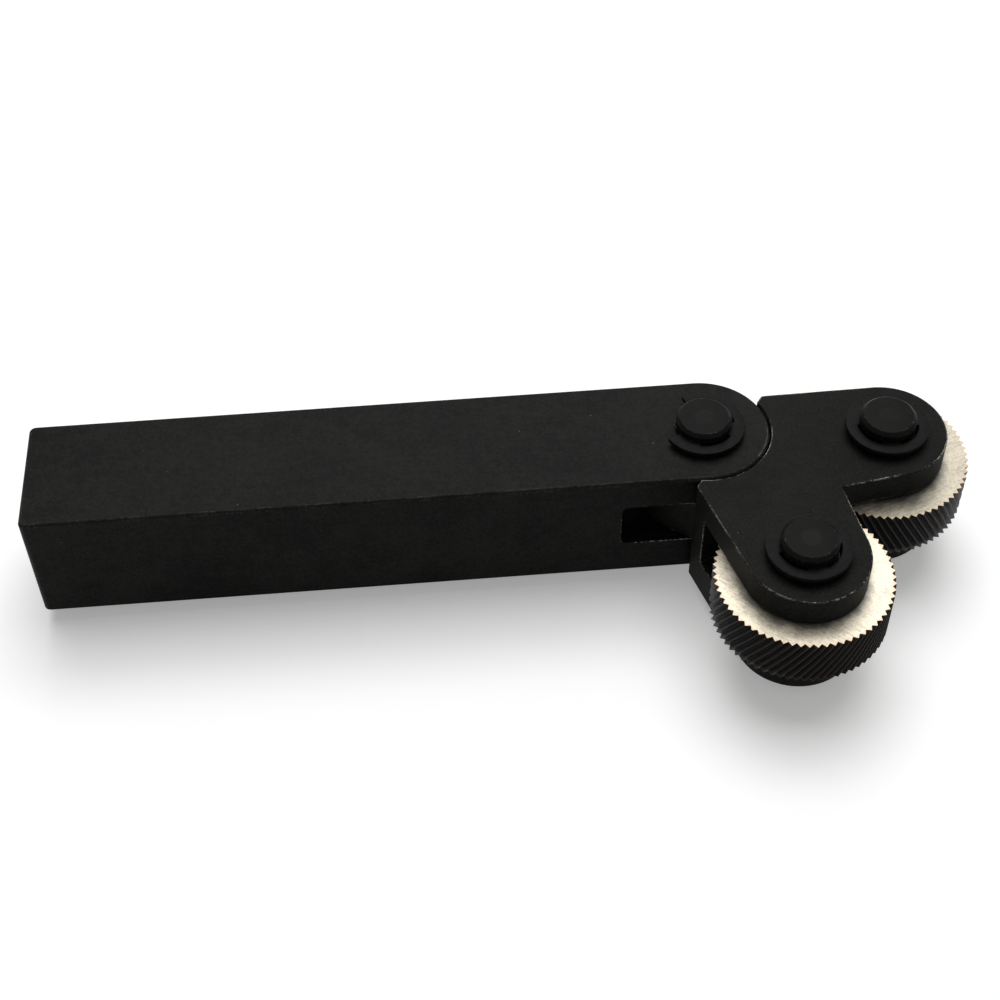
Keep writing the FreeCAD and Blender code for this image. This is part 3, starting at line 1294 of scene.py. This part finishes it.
@dataclass
class ForkedShank:
    """The square shank, its fork and the clipped pin that the head swings on."""

    edge_break: float = 0.1
    finish: BlackOxide = BlackOxide(
        "shank_oxide_coat", gloss=0.42, grain_size=0.45, grain_depth=0.014, pits=0.4, streaks=0.1
    )
    pivot: ClippedPin = field(
        default_factory=lambda: ClippedPin(
            "pivot_pin", ("pivot_clip_lower", "pivot_clip_upper"), Body.SHANK, 159.0, pip_tint=0.3
        )
    )

    def build(self) -> None:
        """Build the shank and its pivot."""
        MachinedBlock("shank", Body.SHANK, Slot.SHANK, self.finish, self.edge_break).build()
        self.pivot.build()


@dataclass
class SwivelHead:
    """The V-shaped head with a clipped pin in each arm."""

    edge_break: float = 0.22
    finish: BlackOxide = BlackOxide(
        "head_oxide_coat", gloss=0.5, grain_size=0.4, grain_depth=0.035, pits=0.6
    )
    pins: tuple[ClippedPin, ...] = (
        ClippedPin(
            "wheel_pin_near",
            ("wheel_clip_lower_near", "wheel_clip_upper_near"),
            Body.HEAD,
            96.0,
            pip_tint=1.0,
        ),
        ClippedPin(
            "wheel_pin_far", ("wheel_clip_lower_far", "wheel_clip_upper_far"), Body.HEAD, 84.0
        ),
    )

    def build(self) -> None:
        """Build the head and its pins."""
        MachinedBlock("head", Body.HEAD, Slot.HEAD, self.finish, self.edge_break).build()
        for pin in self.pins:
            pin.build()


@dataclass
class WheelPair:
    """The two knurl wheels, with opposite helices.

    Each has its hand, the angles of a tooth tip and of the grinding, in degrees from +X, and
    the brightness of its faces, which paints shade on the far wheel's faces.
    """

    near: tuple[Hand, float, float, float] = (Hand.RIGHT, 2.8, -40.0, 1.0)
    # the far wheel's 0.68 is painted shade on its faces
    far: tuple[Hand, float, float, float] = (Hand.LEFT, -0.2, 25.0, 0.68)

    def build(self) -> None:
        """Build both wheels with one set of geometry nodes."""
        tree = WheelTree()
        sides = (("near", Body.WHEEL_NEAR, self.near), ("far", Body.WHEEL_FAR, self.far))
        for side, body, look in sides:
            name, pin = f"knurl_wheel_{side}", f"wheel_pin_{side}"
            KnurlWheel(name, body, Slot.WHEEL, pin, *look).build(tree)
        bpy.data.node_groups.remove(tree.tree)


# ---------------------------------------------------------------- studio
@dataclass
class SoftBox:
    """A soft area lamp that faces the tool."""

    name: str
    place: tuple[float, float, float]
    size: tuple[float, float]
    watts: float
    colour: Colour = (1.0, 1.0, 1.0)

    def build(self, target: Vector) -> None:
        """Hang the lamp and aim it.

        Args:
            target: The point that it faces.
        """
        lamp = bpy.data.lights.new(self.name, "AREA")
        lamp.shape = "RECTANGLE"
        lamp.size, lamp.size_y = self.size
        lamp.energy = self.watts
        lamp.color = self.colour
        holder = bpy.data.objects.new(self.name, lamp)
        holder.location = self.place
        holder.rotation_euler = (target - holder.location).to_track_quat("-Z", "Y").to_euler()
        bpy.context.scene.collection.objects.link(holder)


@dataclass
class Studio:
    """A pale floor, soft light all round and the camera; its angles are in degrees."""

    floor_reach: float = 3.0
    sky: float = 0.15
    boxes: tuple[SoftBox, ...] = (
        SoftBox("back_box", (0.14, 0.95, 1.0), (0.8, 1.1), 5.0),
        SoftBox("top_box", (0.1, 0.45, 1.3), (1.4, 1.0), 13.0),
    )
    camera_place: tuple[float, float, float] = (0.014521, -0.182281, 0.217089)
    camera_yaw: float = -3.78
    camera_pitch: float = 48.47
    camera_roll: float = -1.16
    focal_length: float = 64.57
    shift_y: float = -0.0165
    sensor_width: float = 36.0
    clip_range: tuple[float, float] = (0.01, 20.0)

    def build(self) -> None:
        """Lay the floor, light it and set the camera."""
        low, high = CAD_BOX
        self._lay_floor(low.z)
        self._light(Vector(((low.x + high.x) / 2, (low.y + high.y) / 2, high.z)))
        self._set_camera()

    def _lay_floor(self, level: float) -> None:
        """Lay the floor under the tool.

        Args:
            level: The height of the tool's lowest point.
        """
        mesh = bmesh.new()
        bmesh.ops.create_grid(mesh, x_segments=8, y_segments=8, size=self.floor_reach)
        bmesh.ops.translate(mesh, verts=mesh.verts, vec=(0.0, 0.0, level))
        floor = settle(mesh, "floor")
        floor.data.materials.append(StudioPaper("studio_paper").material())

    def _light(self, target: Vector) -> None:
        """Light the tool from the sky and the soft boxes.

        Args:
            target: The point that the lamps face.
        """
        world = bpy.data.worlds.new("sky")
        world.use_nodes = True
        world.node_tree.nodes.clear()
        bench = Bench(world.node_tree)
        strength = self.sky + bench.seen() * (1.0 - self.sky)
        inputs = {"Color": (1.0, 1.0, 1.0, 1.0), "Strength": strength}
        sky = bench.signal("ShaderNodeBackground", None, inputs)
        bench.node("ShaderNodeOutputWorld", None, {"Surface": sky})
        bpy.context.scene.world = world
        for box in self.boxes:
            box.build(target)

    def _set_camera(self) -> None:
        """Set the camera and the plain view transform."""
        lens = bpy.data.cameras.new("camera")
        lens.sensor_width = self.sensor_width
        lens.lens = self.focal_length
        lens.shift_y = self.shift_y
        lens.clip_start, lens.clip_end = self.clip_range
        camera = bpy.data.objects.new("camera", lens)
        turn = Matrix.Rotation(math.radians(self.camera_yaw), 4, "Z")
        tilt = Matrix.Rotation(math.radians(90.0 - self.camera_pitch), 4, "X")
        roll = Matrix.Rotation(math.radians(self.camera_roll), 4, "Z")
        camera.matrix_world = Matrix.Translation(self.camera_place) @ turn @ tilt @ roll
        bpy.context.scene.collection.objects.link(camera)
        bpy.context.scene.camera = camera
        bpy.context.scene.view_settings.view_transform = "Standard"


def main() -> None:
    """Build the tool and its studio."""
    logging.basicConfig(level=logging.INFO, format="%(name)s: %(message)s")
    ForkedShank().build()
    SwivelHead().build()
    WheelPair().build()
    Studio().build()


if __name__ == "__main__":
    main()
